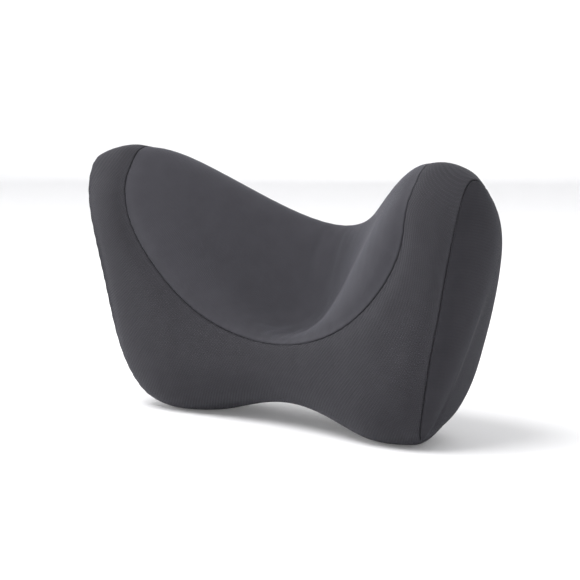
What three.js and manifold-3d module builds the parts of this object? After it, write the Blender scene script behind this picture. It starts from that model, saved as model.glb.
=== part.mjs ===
// A wing-shaped headrest cushion for a chair: a moulded foam core in a sewn, zipped cover,
// with an adjustable elastic strap behind it. Millimetres, +Z up, +X to the right, front to -Y.
// The outside is a loft: closed section outlines (y, z) at the centre, at the wings and at the
// ends are blended across the width. s runs from -1 (left end) to 1 (right end), t runs round
// the section from the back's lower edge, under the front, over the top and down the back.
import * as THREE from "three";
import { mergeVertices } from "three/addons/utils/BufferGeometryUtils.js";
import Module from "manifold-3d";

const wasm = await Module();
wasm.setup();

// ---- driving dimensions ----

// Control points [y, z] of the cubic B-spline outlines, from the back's lower edge under the
// base, up the front, over the top and down the back. The back plane is y = 0.
const CENTRE = [
  [8, 19], [-46, 10], [-81, 18], [-89, 46], [-81, 62],
  [-50, 57], [-33, 74], [-16, 141], [8, 119], [8, 68],
];
const WING = [
  [8, 19], [-36, -8], [-82, -4], [-97, 23], [-88, 93],
  [-100, 160], [-89, 169], [-76, 193], [-10, 155], [8, 84],
];
const END = [
  [-69, 24], [-68, 1], [-79, 8], [-90, 43], [-91, 86],
  [-94, 119], [-94, 157], [-77, 183], [-40, 133], [-48, 100],
];

const HALF_WIDTH = 125; // at the bottom, before the corner is rounded off
const FLARE = 0.25; // how much wider each side gets per unit of height
const LOW_CORNER = { height: 45, inset: 7 };
const HIGH_CORNER = { height: 125, span: 55, inset: 6.5 };
const WING_AT = 0.86; // s where the wing outline is reached
const END_FROM = 0.61; // s where the side starts to round off towards the end outline
const END_ROUND = 0.97; // share of a quarter circle that the rounding uses
const END_BULGE = 6.5; // how far the end gussets stand out in their middle

const COVER = 1.6; // thickness of the padded cover fabric
const LINER = { depth: 2.2, thick: 0.5, backDepth: 3.4 };
const LINER_SLIT = { halfLength: 80, z: 55, halfHeight: 1, reach: 8 };
const FOAM = { depth: 3.1, backDepth: 4.3 };

// The cradle seam curves from t = lowT in the middle to sideT at the sides, then goes over the top.
const SEAM = { lowT: 3.75, sideT: 4.89, topT: 7.6, side: 0.757, power: 2.48, curveSteps: 14, sideSteps: 6 };
const SEAM_GAP = 0.6;

const CLEAR = 0.3; // gap between pieces that touch

// The zipper lies in a slot along the back. Its x values are places along it.
const ZIP = { z: 40, halfSlot: 6.75, halfLength: 94, chainFrom: -89.5, chainTo: 83, sliderX: 87 };
const TAPE = { thick: 0.6, sunk: 1.4, innerEdge: 1.1 };
const COIL = { width: 2.75, low: -0.5, high: 0.8 };
const STOP = { halfHeight: 2.5, length: 2.2, openLength: 1.1, proud: 0.2 };
const SLIDER = { length: 11, plate: 0.9, gap: 0.4, rearHalf: 3.6, frontHalf: 4.6, noseHalf: 2.6, nose: 2.5 };
const WEDGE = { from: 1.5, to: 4.5, half: 0.8 };
const ARCH = { halfLength: 3.8, half: 1, eyeHalfLength: 3, top: 0.65, overPivot: 1.5 };
const PULL = { length: 26, half: 2.7, eyeLength: 5.4, thick: 0.9, pivotOut: 2.75, chamfer: 0.2 };

// The strap runs across the back, round a ring's bar and back to the adjuster, which lies one
// layer of webbing above the strap.
const STRAP = { z: 80, width: 25, thick: 1.3, from: -92, barX: 73.5, returnEnd: 19 };
const RING = { barSpacing: 9, bar: 1.1, slack: 0.8, corner: 1.2, tabEnd: 96 };
const ADJUSTER = { x: 8, length: 20, height: 32, thick: 2.2, slot: 5, rim: 2.4, corner: 2 };
const MOULDED_EDGE = 0.4; // chamfer on the ring and the adjuster

// How finely the loft is faceted.
const RINGS_ACROSS = 22;
const POINTS_ROUND = 30;
const CAP_RINGS = [0.7, 0.35]; // sizes of an end's inner rings

// ---- materials ----

function material(color, roughness, metalness = 0) {
  return new THREE.MeshStandardMaterial({ color, roughness, metalness });
}

const CRADLE_FABRIC = material(0x55545c, 0.9);
const BAND_FABRIC = material(0x514f58, 0.95);
const GUSSET_FABRIC = material(0x45434c, 0.95);
const BACK_FABRIC = material(0x3c3b42, 0.95);
const FOAM_MATERIAL = material(0xe9dfc4, 0.9);
const LINER_CLOTH = material(0xd9d9d6, 0.9);
const ZIP_TAPE = material(0x2c2b31, 0.9);
const ZIP_COIL = material(0x1f1f24, 0.5);
const ZIP_METAL = material(0x3a3a3e, 0.35, 0.9);
const ELASTIC = material(0x26262a, 0.9);
const PLASTIC = material(0x1c1c1f, 0.45);

// ---- the outside shape ----

/** Weights of four neighbouring control points at fraction f of a cubic B-spline span. */
function splineWeights(f) {
  const before = (1 - f) ** 3 / 6;
  const near = (3 * f ** 3 - 6 * f ** 2 + 4) / 6;
  const next = (1 + 3 * f + 3 * f ** 2 - 3 * f ** 3) / 6;
  return [before, near, next, f ** 3 / 6];
}

/** Share of the wing outline at s, from 0 at the centre to 1. */
function wingShare(s) {
  return Math.sin((Math.PI / 2) * Math.min(1, Math.abs(s) / WING_AT)) ** 2;
}

/** Share of the end outline at s: a quarter circle from END_FROM to the end. */
function endShare(s) {
  const q = Math.max(0, (Math.abs(s) - END_FROM) / (1 - END_FROM)) * END_ROUND;
  return (1 - Math.sqrt(1 - q * q)) / (1 - Math.sqrt(1 - END_ROUND * END_ROUND));
}

/** Half the width at height z. */
function halfWidth(z) {
  const low = Math.max(0, 1 - z / LOW_CORNER.height) ** 2;
  const high = Math.max(0, (z - HIGH_CORNER.height) / HIGH_CORNER.span) ** 2;
  return HALF_WIDTH + FLARE * z - LOW_CORNER.inset * low - HIGH_CORNER.inset * high;
}

/** The outside at (s, t), before the back and the base are pressed flat. */
function skinPoint(s, t) {
  const first = Math.floor(t);
  const weights = splineWeights(t - first);
  const wing = wingShare(s);
  const end = endShare(s);
  let y = 0;
  let z = 0;
  weights.forEach((weight, k) => {
    const i = (first + k - 1 + CENTRE.length) % CENTRE.length;
    const blended = (axis) =>
      CENTRE[i][axis] + (WING[i][axis] - CENTRE[i][axis]) * wing + (END[i][axis] - WING[i][axis]) * end;
    y += weight * blended(0);
    z += weight * blended(1);
  });
  return new THREE.Vector3(s * halfWidth(z), y, z);
}

/** Outward unit normal of the outside at (s, t). */
function skinNormal(s, t) {
  const step = 1e-3;
  const inner = Math.min(Math.abs(s), 1 - step) * Math.sign(s);
  const across = skinPoint(inner + step, t).sub(skinPoint(inner - step, t));
  const round = skinPoint(inner, t + step).sub(skinPoint(inner, t - step + CENTRE.length));
  return across.cross(round).normalize();
}

/** A point at a depth under the outside, with the flat back and the flat base kept. */
function layerPoint(s, t, depth, backDepth = depth) {
  const p = skinPoint(s, t).addScaledVector(skinNormal(s, t), -depth);
  p.y = Math.min(p.y, -backDepth);
  p.z = Math.max(p.z, depth);
  return p;
}

/** The t on the back at which the outside has height z. */
function backT(s, z) {
  let above = 8;
  let below = 10;
  for (let i = 0; i < 30; i++) {
    const middle = (above + below) / 2;
    if (skinPoint(s, middle).z > z) above = middle;
    else below = middle;
  }
  return above;
}

// ---- meshes and booleans ----

/** A geometry from a list of points and a list of triangles. */
function geometryOf(points, triangles) {
  const geometry = new THREE.BufferGeometry();
  geometry.setAttribute("position", new THREE.Float32BufferAttribute(points.flatMap((p) => p.toArray()), 3));
  geometry.setIndex(triangles.flat());
  return geometry;
}

/** A three.js geometry as a solid that can be cut. */
function solid(geometry) {
  const bare = geometry.clone();
  bare.deleteAttribute("normal");
  bare.deleteAttribute("uv");
  const merged = mergeVertices(bare, 1e-4);
  const vertProperties = new Float32Array(merged.attributes.position.array);
  const triVerts = new Uint32Array(merged.index.array);
  return new wasm.Manifold(new wasm.Mesh({ numProp: 3, vertProperties, triVerts }));
}

/** A cut solid as a three.js geometry. */
function geometryFrom(cut) {
  const mesh = cut.getMesh();
  const geometry = new THREE.BufferGeometry();
  geometry.setAttribute("position", new THREE.BufferAttribute(new Float32Array(mesh.vertProperties), 3));
  geometry.setIndex(new THREE.BufferAttribute(new Uint32Array(mesh.triVerts), 1));
  return geometry;
}

/** A box between two corners. */
function boxBetween(low, high) {
  const size = high.map((v, i) => v - low[i]);
  const middle = high.map((v, i) => (v + low[i]) / 2);
  return new THREE.BoxGeometry(...size).translate(...middle);
}

/** A closed body from rings of equal length, each closed on itself, with a point at each end. */
function ringBody(firstPoint, rings, lastPoint) {
  const count = rings[0].length;
  const points = [firstPoint, ...rings.flat(), lastPoint];
  const at = (ring, j) => 1 + ring * count + (j % count);
  const last = points.length - 1;
  const triangles = [];
  for (let j = 0; j < count; j++) {
    triangles.push([0, at(0, j), at(0, j + 1)]);
    for (let i = 0; i + 1 < rings.length; i++) {
      triangles.push([at(i, j), at(i + 1, j), at(i + 1, j + 1)]);
      triangles.push([at(i, j), at(i + 1, j + 1), at(i, j + 1)]);
    }
    triangles.push([last, at(rings.length - 1, j + 1), at(rings.length - 1, j)]);
  }
  return geometryOf(points, triangles);
}

// ---- closed layers of the cushion ----

/** The middle of a ring of points. */
function ringCentre(ring) {
  return ring.reduce((sum, p) => sum.add(p), new THREE.Vector3()).divideScalar(ring.length);
}

/** Rings that close the end of a layer with the gusset's bulge, from the edge inwards, and their centre. */
function endCap(edge, side) {
  const centre = ringCentre(edge);
  const ringAt = (r) =>
    edge.map((p) => {
      const q = centre.clone().lerp(p, r);
      q.x += side * END_BULGE * (1 - r ** 3);
      return q;
    });
  const tip = centre.clone();
  tip.x += side * END_BULGE;
  return { rings: CAP_RINGS.map(ringAt), tip };
}

/** The cushion's closed outer shape at a depth under the outside. */
function layerBody(depth, backDepth = depth) {
  const endS = 1 - depth / HALF_WIDTH;
  const rings = [];
  for (let i = 0; i <= RINGS_ACROSS; i++) {
    const u = (2 * i) / RINGS_ACROSS - 1;
    const closing = Math.sin((Math.PI / 2) * u); // puts the rings closer together near the ends
    const s = endS * (0.4 * u + 0.6 * closing);
    const ring = [];
    for (let j = 0; j < POINTS_ROUND; j++) {
      ring.push(layerPoint(s, (j * CENTRE.length) / POINTS_ROUND, depth, backDepth));
    }
    rings.push(ring);
  }
  const left = endCap(rings[0], -1);
  const right = endCap(rings[RINGS_ACROSS], 1);
  return ringBody(left.tip, [...left.rings.reverse(), ...rings, ...right.rings], right.tip);
}

// ---- cutting bodies that divide the cover into its panels ----

const CUT_OUT = -8; // the cutting bodies reach from outside the cover
const CUT_IN = 4.5; // to well under it
const CUT_BEYOND = 25; // how far a gusset's cutting body reaches past the end
const CUT_SHARES = [0.2, 0.4, 0.6, 0.8]; // sizes of the rings inside a loop

const SEAM_FIFTHS = [-1, -0.8, -0.6, -0.4, -0.2, 0, 0.2, 0.4, 0.6, 0.8, 1];

/** Half of the curved seam round the cradle, from its low middle to the top seam, as [s, t]. */
function cradleSeam() {
  const path = [];
  for (let i = 0; i <= SEAM.curveSteps; i++) {
    const rise = (i / SEAM.curveSteps) ** 2;
    const s = SEAM.side * (1 - (1 - rise) ** SEAM.power) ** (1 / SEAM.power);
    path.push([s, SEAM.lowT + (SEAM.sideT - SEAM.lowT) * rise]);
  }
  for (let i = 1; i <= SEAM.sideSteps; i++) {
    path.push([SEAM.side, SEAM.sideT + ((SEAM.topT - SEAM.sideT) * i) / SEAM.sideSteps]);
  }
  return path;
}

/** The loop round the cradle panel, as [s, t]. */
function cradleLoop() {
  const right = cradleSeam();
  const top = SEAM_FIFTHS.slice(1, -1).map((k) => [-SEAM.side * k, SEAM.topT]);
  const left = right.slice(1).reverse().map(([s, t]) => [-s, t]);
  return [...right, ...top, ...left];
}

/** The loop round the back panel, as [s, t]: top seam, side seams and the zipper's upper edge. */
function backLoop() {
  const across = SEAM_FIFTHS.map((k) => SEAM.side * k);
  const lowZ = ZIP.z + ZIP.halfSlot + CLEAR;
  const top = across.map((s) => [s, SEAM.topT]);
  const low = across.map((s) => [-s, backT(s, lowZ)]);
  const lowT = backT(SEAM.side, lowZ);
  const down = CUT_SHARES.map((share) => SEAM.topT + (lowT - SEAM.topT) * share);
  const right = down.map((t) => [SEAM.side, t]);
  const left = down.reverse().map((t) => [-SEAM.side, t]);
  return [...top, ...right, ...low, ...left];
}

/** A body that holds what lies inside a loop on the skin, with the loop grown by a share of its size. */
function loopCutter(loop, middleT, grow) {
  const ring = (r, depth) =>
    loop.map(([s, t]) => layerPoint(s * r, middleT + (t - middleT) * r, depth));
  const shares = [...CUT_SHARES, 1 + grow];
  const outside = shares.map((r) => ring(r, CUT_OUT));
  const inside = shares.map((r) => ring(r, CUT_IN)).reverse();
  const outerTip = layerPoint(0, middleT, CUT_OUT);
  const innerTip = layerPoint(0, middleT, CUT_IN);
  return solid(ringBody(outerTip, [...outside, ...inside], innerTip));
}

/** A body that holds one end gusset, with its outline moved out by grow. */
function gussetCutter(side, grow) {
  const edge = [];
  for (let j = 0; j < POINTS_ROUND; j++) {
    const t = (j * CENTRE.length) / POINTS_ROUND;
    const mitre = skinNormal(side, t).add(new THREE.Vector3(side, 0, 0)).normalize();
    edge.push({ p: layerPoint(side, t, 0), mitre });
  }
  const centre = ringCentre(edge.map((e) => e.p));
  const ringAt = (offset) =>
    edge.map(({ p, mitre }) => {
      const away = p.clone().sub(centre).normalize();
      return p.clone().addScaledVector(away, grow).addScaledVector(mitre, offset);
    });
  const outer = centre.clone().add(new THREE.Vector3(side * CUT_BEYOND, 0, 0));
  const inner = centre.clone().add(new THREE.Vector3(side * -CUT_IN, 0, 0));
  const rings = [ringAt(-CUT_OUT), ringAt(-CUT_IN)];
  if (side < 0) return solid(ringBody(outer, rings, inner));
  return solid(ringBody(inner, rings.reverse(), outer));
}

// ---- the sewn cover ----

const CRADLE_MIDDLE_T = 5.9;
const BACK_MIDDLE_T = 8.6;
const GROW = { loop: 0.004, edge: SEAM_GAP / 2 };

/** The five panels of the cover, cut from one shell along their seams. */
function coverPanels() {
  const shell = solid(layerBody(0)).subtract(solid(layerBody(COVER)));
  const cradle = (grow) => loopCutter(cradleLoop(), CRADLE_MIDDLE_T, grow);
  const back = (grow) => loopCutter(backLoop(), BACK_MIDDLE_T, grow);
  const slotLow = [-ZIP.halfLength, -2 * COVER, ZIP.z - ZIP.halfSlot];
  const slotHigh = [ZIP.halfLength, COVER, ZIP.z + ZIP.halfSlot + 2 * CLEAR];
  const slot = solid(boxBetween(slotLow, slotHigh));
  const band = shell
    .subtract(cradle(GROW.loop))
    .subtract(back(GROW.loop))
    .subtract(gussetCutter(-1, GROW.edge))
    .subtract(gussetCutter(1, GROW.edge))
    .subtract(slot);
  return {
    cradle: geometryFrom(shell.intersect(cradle(-GROW.loop))),
    back: geometryFrom(shell.intersect(back(-GROW.loop))),
    left: geometryFrom(shell.intersect(gussetCutter(-1, -GROW.edge))),
    right: geometryFrom(shell.intersect(gussetCutter(1, -GROW.edge))),
    band: geometryFrom(band),
  };
}

/** The thin inner bag round the foam, with the slit it was filled through. */
function linerGeometry() {
  const outer = solid(layerBody(LINER.depth, LINER.backDepth));
  const inner = solid(layerBody(LINER.depth + LINER.thick, LINER.backDepth + LINER.thick));
  const { halfLength, z, halfHeight, reach } = LINER_SLIT;
  const slit = solid(boxBetween([-halfLength, -reach, z - halfHeight], [halfLength, 0, z + halfHeight]));
  return geometryFrom(outer.subtract(inner).subtract(slit));
}

// ---- zipper ----

/** A flat plate on the back: an outline in x and z, from out to out + thick behind the back plane. */
function backPlate(shape, out, thick, bevel = 0) {
  const edge = { bevelEnabled: bevel > 0, bevelThickness: bevel, bevelSize: bevel, bevelOffset: -bevel };
  const options = { depth: thick - 2 * bevel, bevelSegments: 1, ...edge };
  const geometry = new THREE.ExtrudeGeometry(shape, options);
  return geometry.rotateX(Math.PI / 2).translate(0, out + thick - bevel, 0);
}

/** A rectangle with chamfered corners, as a shape or as a hole. */
function chamferedBox(Kind, x0, x1, halfHeight, chamfer) {
  const c = chamfer;
  const right = [[x1 - c, -halfHeight], [x1, c - halfHeight], [x1, halfHeight - c], [x1 - c, halfHeight]];
  const left = [[x0 + c, halfHeight], [x0, halfHeight - c], [x0, c - halfHeight], [x0 + c, -halfHeight]];
  return new Kind([...right, ...left].map(([x, z]) => new THREE.Vector2(x, z)));
}

/** One of the two tapes. up is 1 for the upper tape and -1 for the lower one. */
function tapeGeometry(up) {
  const outer = ZIP.halfSlot - CLEAR;
  const zs = [ZIP.z + up * TAPE.innerEdge, ZIP.z + up * outer].sort((a, b) => a - b);
  const endX = ZIP.halfLength - CLEAR;
  return boxBetween([-endX, -TAPE.sunk, zs[0]], [endX, TAPE.thick - TAPE.sunk, zs[1]]);
}

/** One row of the coil, as the bar that it fills. */
function coilGeometry(up) {
  const zs = [ZIP.z + (up * CLEAR) / 2, ZIP.z + up * (COIL.width + CLEAR / 2)].sort((a, b) => a - b);
  return boxBetween([ZIP.chainFrom, COIL.low, zs[0]], [ZIP.chainTo, COIL.high, zs[1]]);
}

/** A stop over the two coils' ends, from x0 to x1. */
function stopGeometry(x0, x1) {
  const low = [x0, COIL.low, ZIP.z - STOP.halfHeight];
  return boxBetween(low, [x1, COIL.high + STOP.proud, ZIP.z + STOP.halfHeight]);
}

/** The slider about its own middle: two plates, the wedge between them and the arch for the pull. */
function sliderGeometry() {
  const join = 0.1; // overlap that makes the parts one body
  const half = SLIDER.length / 2;
  const topOut = COIL.high + CLEAR;
  const topFace = topOut + SLIDER.plate;
  const lowOut = -TAPE.sunk - SLIDER.gap - SLIDER.plate;
  const shoulder = [half - SLIDER.nose, SLIDER.frontHalf];
  const sides = [[-half, SLIDER.rearHalf], [0, SLIDER.rearHalf], shoulder, [half, SLIDER.noseHalf]];
  const mirrored = sides.map(([x, z]) => [x, -z]);
  const outline = new THREE.Shape([...mirrored, ...sides.reverse()].map(([x, z]) => new THREE.Vector2(x, z)));
  const top = solid(backPlate(outline, topOut, SLIDER.plate));
  const low = solid(backPlate(outline, lowOut, SLIDER.plate));
  const wedgeLow = [WEDGE.from, lowOut + join, -WEDGE.half];
  const wedge = solid(boxBetween(wedgeLow, [WEDGE.to, topOut + join, WEDGE.half]));
  const archTop = PULL.pivotOut + ARCH.overPivot;
  const archLow = [-ARCH.halfLength, topFace - join, -ARCH.half];
  const arch = solid(boxBetween(archLow, [ARCH.halfLength, archTop, ARCH.half]));
  const eyeLow = [-ARCH.eyeHalfLength, topFace, -2 * ARCH.half];
  const eye = solid(boxBetween(eyeLow, [ARCH.eyeHalfLength, archTop - ARCH.top, 2 * ARCH.half]));
  return geometryFrom(top.add(low).add(wedge).add(arch.subtract(eye)));
}

/** The pull tab about its pivot, lying towards -x: a plate with an eye for the arch. */
function pullGeometry() {
  const { length, half, eyeLength, thick, chamfer } = PULL;
  const outline = chamferedBox(THREE.Shape, -length, thick / 2, half, chamfer);
  outline.holes.push(chamferedBox(THREE.Path, -eyeLength, -thick / 2, ARCH.half + 2 * chamfer, chamfer));
  return backPlate(outline, -thick / 2, thick);
}

// ---- strap ----

/** Webbing that runs from x = from to a bar at barX, round it, and back to x = returnEnd. */
function loopedWebbing(from, barX, returnEnd) {
  const side = Math.sign(barX - from);
  const inner = RING.bar + CLEAR;
  const outer = inner + STRAP.thick;
  const barOut = CLEAR + outer;
  const shape = new THREE.Shape();
  shape.moveTo(from, CLEAR);
  shape.lineTo(barX, CLEAR);
  shape.absarc(barX, barOut, outer, -Math.PI / 2, Math.PI / 2, side < 0);
  shape.lineTo(returnEnd, barOut + outer);
  shape.lineTo(returnEnd, barOut + inner);
  shape.lineTo(barX, barOut + inner);
  shape.absarc(barX, barOut, inner, Math.PI / 2, -Math.PI / 2, side > 0);
  shape.lineTo(from, CLEAR + STRAP.thick);
  const options = { depth: STRAP.width, bevelEnabled: false, curveSegments: 8 };
  return new THREE.ExtrudeGeometry(shape, options).translate(0, 0, STRAP.z - STRAP.width / 2);
}

/** The flat ring that joins the strap to its tab. */
function ringGeometry() {
  const halfHole = STRAP.width / 2 + RING.slack;
  const farX = STRAP.barX + RING.barSpacing;
  const halfHeight = halfHole + 2 * RING.bar;
  const outline = chamferedBox(THREE.Shape, STRAP.barX - RING.bar, farX + RING.bar, halfHeight, RING.corner);
  const window = [STRAP.barX + RING.bar, farX - RING.bar];
  outline.holes.push(chamferedBox(THREE.Path, ...window, halfHole, MOULDED_EDGE));
  const out = 2 * CLEAR + STRAP.thick;
  return backPlate(outline, out, 2 * RING.bar, MOULDED_EDGE).translate(0, 0, STRAP.z);
}

/** The adjuster about its own middle: a frame with two slots either side of a bar. */
function adjusterGeometry() {
  const half = ADJUSTER.length / 2;
  const outline = chamferedBox(THREE.Shape, -half, half, ADJUSTER.height / 2, ADJUSTER.corner);
  const slotEnd = half - ADJUSTER.rim;
  for (const from of [-slotEnd, slotEnd - ADJUSTER.slot]) {
    const halfHole = STRAP.width / 2 + RING.slack;
    outline.holes.push(chamferedBox(THREE.Path, from, from + ADJUSTER.slot, halfHole, MOULDED_EDGE));
  }
  return backPlate(outline, 3 * CLEAR + 2 * STRAP.thick, ADJUSTER.thick, MOULDED_EDGE);
}

// ---- assembly ----

const headrest = new THREE.Group();

/** Adds a named piece to a group. */
function add(name, geometry, look, group = headrest) {
  const mesh = new THREE.Mesh(geometry, look);
  mesh.name = name;
  group.add(mesh);
  return mesh;
}

const panels = coverPanels();
add("cradle_panel", panels.cradle, CRADLE_FABRIC);
add("band_panel", panels.band, BAND_FABRIC);
add("gusset_left", panels.left, GUSSET_FABRIC);
add("gusset_right", panels.right, GUSSET_FABRIC);
add("back_panel", panels.back, BACK_FABRIC);
add("foam_liner", linerGeometry(), LINER_CLOTH);
add("foam_core", layerBody(FOAM.depth, FOAM.backDepth), FOAM_MATERIAL);

add("zipper_tape_upper", tapeGeometry(1), ZIP_TAPE);
add("zipper_tape_lower", tapeGeometry(-1), ZIP_TAPE);
add("zipper_coil_upper", coilGeometry(1), ZIP_COIL);
add("zipper_coil_lower", coilGeometry(-1), ZIP_COIL);
const closedStopEnd = ZIP.chainFrom - CLEAR;
const openStopEnd = ZIP.halfLength - CLEAR / 2;
add("zipper_stop_left", stopGeometry(closedStopEnd - STOP.length, closedStopEnd), ZIP_METAL);
add("zipper_stop_right", stopGeometry(openStopEnd - STOP.openLength, openStopEnd), ZIP_METAL);
add("zipper_slider", sliderGeometry(), ZIP_METAL).position.set(ZIP.sliderX, 0, ZIP.z);
add("zipper_pull", pullGeometry(), ZIP_METAL).position.set(ZIP.sliderX, PULL.pivotOut, ZIP.z);

add("strap_webbing", loopedWebbing(STRAP.from, STRAP.barX, STRAP.returnEnd), ELASTIC);
add("strap_ring", ringGeometry(), PLASTIC);
const tabBarX = STRAP.barX + RING.barSpacing;
add("ring_tab", loopedWebbing(RING.tabEnd, tabBarX, RING.tabEnd), ELASTIC);
add("strap_adjuster", adjusterGeometry(), PLASTIC).position.set(ADJUSTER.x, 0, STRAP.z);

// The origin is under the middle of the whole piece, on the surface that it stands on.
const bounds = new THREE.Box3().setFromObject(headrest);
const middle = bounds.getCenter(new THREE.Vector3());
headrest.position.set(-middle.x, -middle.y, -bounds.min.z);

export default headrest;
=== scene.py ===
"""A wing-shaped headrest cushion: a foam core in a sewn, zipped cover, with an elastic strap behind.

The outside is one closed skin, from the same outlines as the CAD model's loft. A cloth simulation
swells it between its seams. Then it is cut along the seams into the cover's panels, whose edges
roll into the seams. Lengths are in millimetres until a mesh is made, and the back plane is y = BACK."""

import math

import bmesh
import bpy
import numpy as np
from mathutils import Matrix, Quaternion, Vector, bvhtree, kdtree


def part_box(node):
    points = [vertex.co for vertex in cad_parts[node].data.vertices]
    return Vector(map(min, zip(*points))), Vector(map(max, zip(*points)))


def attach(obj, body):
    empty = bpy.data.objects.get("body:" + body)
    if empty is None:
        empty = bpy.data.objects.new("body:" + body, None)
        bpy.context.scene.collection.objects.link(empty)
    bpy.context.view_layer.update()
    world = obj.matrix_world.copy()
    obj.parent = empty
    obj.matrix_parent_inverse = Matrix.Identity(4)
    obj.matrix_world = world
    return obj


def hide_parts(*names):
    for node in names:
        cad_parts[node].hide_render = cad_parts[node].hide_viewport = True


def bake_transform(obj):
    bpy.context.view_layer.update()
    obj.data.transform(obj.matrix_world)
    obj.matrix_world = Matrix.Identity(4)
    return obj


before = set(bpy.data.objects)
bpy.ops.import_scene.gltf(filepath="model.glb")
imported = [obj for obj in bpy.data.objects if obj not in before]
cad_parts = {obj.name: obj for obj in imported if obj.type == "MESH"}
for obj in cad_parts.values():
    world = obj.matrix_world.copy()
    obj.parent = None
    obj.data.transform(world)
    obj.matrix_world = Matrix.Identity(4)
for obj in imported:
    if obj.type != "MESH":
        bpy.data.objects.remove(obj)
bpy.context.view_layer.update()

MM = 0.001
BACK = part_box("back_panel")[1].y / MM
OUTWARD = np.array([0, 1, 0])  # from the back plane, away from the cushion

# ---- the loft, as in the CAD model: outlines (y from the back plane, z), s across, t round ----

CENTRE = np.array(
    [(8, 19), (-46, 10), (-81, 18), (-89, 46), (-81, 62),
     (-50, 57), (-33, 74), (-16, 141), (8, 119), (8, 68)], float)
WING = np.array(
    [(8, 19), (-36, -8), (-82, -4), (-97, 23), (-88, 93),
     (-100, 160), (-89, 169), (-76, 193), (-10, 155), (8, 84)], float)
END = np.array(
    [(-69, 24), (-68, 1), (-79, 8), (-90, 43), (-91, 86),
     (-94, 119), (-94, 157), (-77, 183), (-40, 133), (-48, 100)], float)
TURN = len(CENTRE)  # t goes once round from 0 to TURN
HALF_WIDTH, FLARE = 125, 0.25  # at the bottom, and how much wider for each unit of height
LOW_CORNER = {"height": 45, "inset": 7}
HIGH_CORNER = {"height": 125, "span": 55, "inset": 6.5}
WING_AT, END_FROM, END_ROUND, END_BULGE = 0.86, 0.61, 0.97, 6.5
BACK_SOFT, BASE_SOFT = 5, 3  # how gently the skin meets the back plane and the base

# ---- seams and fabric ----

SEAM = {"low_t": 3.75, "side_t": 4.89, "top_t": 7.6, "side": 0.757, "power": 2.48}
WRAP = {"reach": 0.13, "top": (7.0, 8.2), "base": (11.2, 10.0)}  # the gussets, round behind
SLOT = {"half_length": 94, "low": 33.25, "high": 46.75, "corner": 2}  # the zipper's slot
COVER = 1.5  # thickness of the padded fabric
ROLL = 1.2  # radius with which a panel's edge rolls into its seam
GAP, GAP_REACH = 0.08, 0.4  # how far each panel's edge stays off the seam's own line
INNER_ROLL, INNER_LIFT = 0.6, 0.2  # how the inside follows the roll, and stays above the lowest edge
VALLEY = {"depth": 0.35, "reach": 8}  # the wide shallow valley along a seam
PUCKER = {"height": 0.16, "wave": 9.0, "reach": 6, "drift": 1.5, "drift_wave": 13}
SEAM_LEVELS = (0, 0.3, 0.7, 1.2, 2.4)  # distances from a seam at which the skin is cut
STITCH_LEVELS = (2.9, 3.5, 4.1)  # the same, round the zipper's stitched edge
STITCH = {"off": 3.5, "length": 2.6, "gap": 0.7, "radius": 0.22, "height": 0.28,
          "groove": 0.3, "groove_reach": 0.7}
STITCH_POINTS, STITCH_DIP = 6, 0.35  # points of one stitch, and how far its arch goes on below
SNAP, MEET = 0.12, 1e-5  # a point this near to a cut moves onto it, and one this near is on it
NEAR = 9.0  # up to here a seam's distance is measured along the skin
BEHIND, NOWHERE = 8, 50.0  # the zipper's distances hold this deep in the cushion, and are far beyond
SEAM_STEP = 0.8  # between the points of a seam's own line
NUDGE = 0.05  # for the slopes of the zipper's distance

# ---- the skin's mesh and its simulation ----

ACROSS, ROUND = 80, 104  # cells of the skin; ROUND is twice CAP_SHORT + CAP_LONG
CAP_SHORT, CAP_LONG = 13, 39
CAP_START = 2  # where the end patch's first corner lies on the ring
CAP_S = 1.5  # the s of an end patch's points, which is past every seam's
INSET = 0.5  # the skin starts smaller, and the pressure swells it
SWELL = 2.6  # furthest that a point may move
PRESSURE = 300
SIM_FRAMES = 20
PIN = {"held": 2.0, "free": 12.0, "foam": 0.3}  # distances from a seam, and the hold between them
PRESSED = {"back": 1.2, "base": 1.0}  # how gently the swollen skin is kept inside its box

# ---- zipper, strap, ring and adjuster; "out" is the distance behind the back plane ----

ZIP_Z = 40
TAPE = {"width": 6.2, "thick": 0.6, "rib": 0.8, "relief": 0.08}
TAPE_AT = {"half_length": 93.7, "inner": 1.1, "out": -1.35}
COIL = {"start": -89.3, "end": 82.8, "pitch": 1.3, "wire": 0.3, "out": 0.0, "rise": 0.42}
COIL_HEAD, COIL_HEEL = -0.3, 2.6  # reach of a coil's wire across the zipper's middle
STRAP = {"width": 25, "thick": 1.3, "rib": 1.4, "relief": 0.14}
STRAP_Z = 80
STRAP_X = {"left": -92, "sewn_to": -82, "raised_from": -74, "bar": 73.5}
TAB_X = {"bar": 82.5, "low": (86, 90), "high": (85, 89), "end": 96}  # its slopes' ends
WEB_STEP, RIB_CELLS = 1.0, 6  # length of a cell along a woven band, and the cells across a rib
BAR_STEP = 0.8  # length of a cell along the ring and the adjuster's rim
LOOP = {"out": 3.0, "radius": 2.05}  # the webbing's middle round a bar
SEWN_OUT = 0.72  # where the webbing is sewn flat
OVER_OUT = SEWN_OUT + STRAP["thick"] + 0.04  # where the tab's upper layer lies on its lower one
SEWN_BOX, TAB_BOX = (-90.5, -80.5), (89.3, 94.5)  # x of the boxes stitched there
BOX_MARGIN, HEM = 2.5, (1.5, 2.5)  # the stitches' distance from the selvedges, and from the free end
BOX = {"length": 2.2, "gap": 0.5, "height": 0.22, "radius": 0.2}
RING = {"x": 78, "half_x": 4.5, "half_z": 15.5, "corner": 2.2, "bar": 1.1}
ADJUSTER_X = 8
FRAME = {"length": 20, "height": 32, "rim": 2.4, "thick": 2.2, "bar": 2.6, "corner": 2.4,
         "out": 4.6, "bar_sink": 0.1}
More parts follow.
